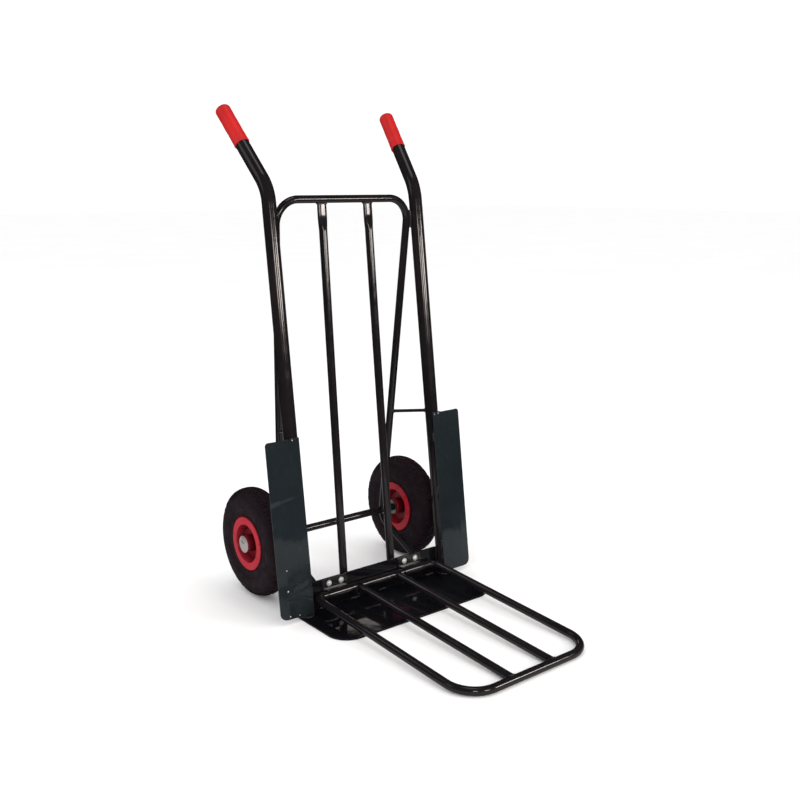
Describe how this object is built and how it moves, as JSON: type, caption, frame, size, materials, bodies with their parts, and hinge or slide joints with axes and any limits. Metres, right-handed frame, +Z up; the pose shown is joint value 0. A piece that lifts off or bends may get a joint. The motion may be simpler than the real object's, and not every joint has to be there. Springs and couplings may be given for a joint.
{
  "type": "hand truck",
  "caption": "Steel tube hand truck with red grips, two pneumatic wheels with red rims, wheel guards, a fixed toe plate and a folding tube toe extension.",
  "frame": {"origin": "on the floor, midway between the feet of the two side tubes, on the toe plate's underside", "axes": "+Z up, -Y forwards over the toe plate, +X across to the side that is on the right when the truck is seen from the front with the toe plate towards the viewer; the truck stands on its toe plate and wheels"},
  "size_m": [0.5608, 0.8391, 1.1355],
  "materials": {
    "black_paint": "glossy black enamel with a faint green cast",
    "slate_paint": "glossy anthracite enamel on sheet steel",
    "red_vinyl": "satin dipped vinyl",
    "red_rim": "glossy moulded plastic",
    "zinc": "bright zinc plate",
    "chrome": "bright plated pressing",
    "steel": "bare turned steel",
    "tyre_rubber": "matt black moulded rubber",
    "tube_rubber": "smooth butyl rubber"
  },
  "bodies": {
    "frame": {"side_tube_left": "black_paint", "side_tube_right": "black_paint", "grip_left": "red_vinyl", "grip_right": "red_vinyl", "rear_brace": "black_paint", "load_bar_left": "black_paint", "load_bar_right": "black_paint", "lower_cross_tube": "black_paint", "stay_left": "black_paint", "stay_right": "black_paint", "toe_plate": "slate_paint", "cross_plate": "slate_paint", "guard_left": "slate_paint", "guard_right": "slate_paint", "hinge_strap_left": "black_paint", "hinge_strap_right": "black_paint", "hinge_bolts": "zinc", "hinge_nuts": "zinc", "axle_rod": "steel", "axle_tube": "black_paint", "axle_spacers": "black_paint", "axle_cap_left": "chrome", "axle_cap_right": "chrome"},
    "toe_extension": {"toe_loop": "black_paint", "inner_bar_left": "black_paint", "inner_bar_right": "black_paint"},
    "left_wheel": {"tyre_left": "tyre_rubber", "inner_tube_left": "tube_rubber", "rim_outer_left": "red_rim", "rim_inner_left": "red_rim", "hub_left": "steel", "bearings_left": "steel"},
    "right_wheel": {"tyre_right": "tyre_rubber", "inner_tube_right": "tube_rubber", "rim_outer_right": "red_rim", "rim_inner_right": "red_rim", "hub_right": "steel", "bearings_right": "steel"}
  },
  "joints": [
    {"name": "toe_extension_fold", "type": "hinge", "parent": "frame", "child": "toe_extension", "pos_m": [0, 0.00497, 0.03404], "axis": [-1, 0, 0], "range_deg": [0, 99.5]},
    {"name": "left_wheel_spin", "type": "hinge", "parent": "frame", "child": "left_wheel", "pos_m": [-0.222, 0.187, 0.13], "axis": [1, 0, 0], "continuous": true},
    {"name": "right_wheel_spin", "type": "hinge", "parent": "frame", "child": "right_wheel", "pos_m": [0.222, 0.187, 0.13], "axis": [1, 0, 0], "continuous": true}
  ]
}
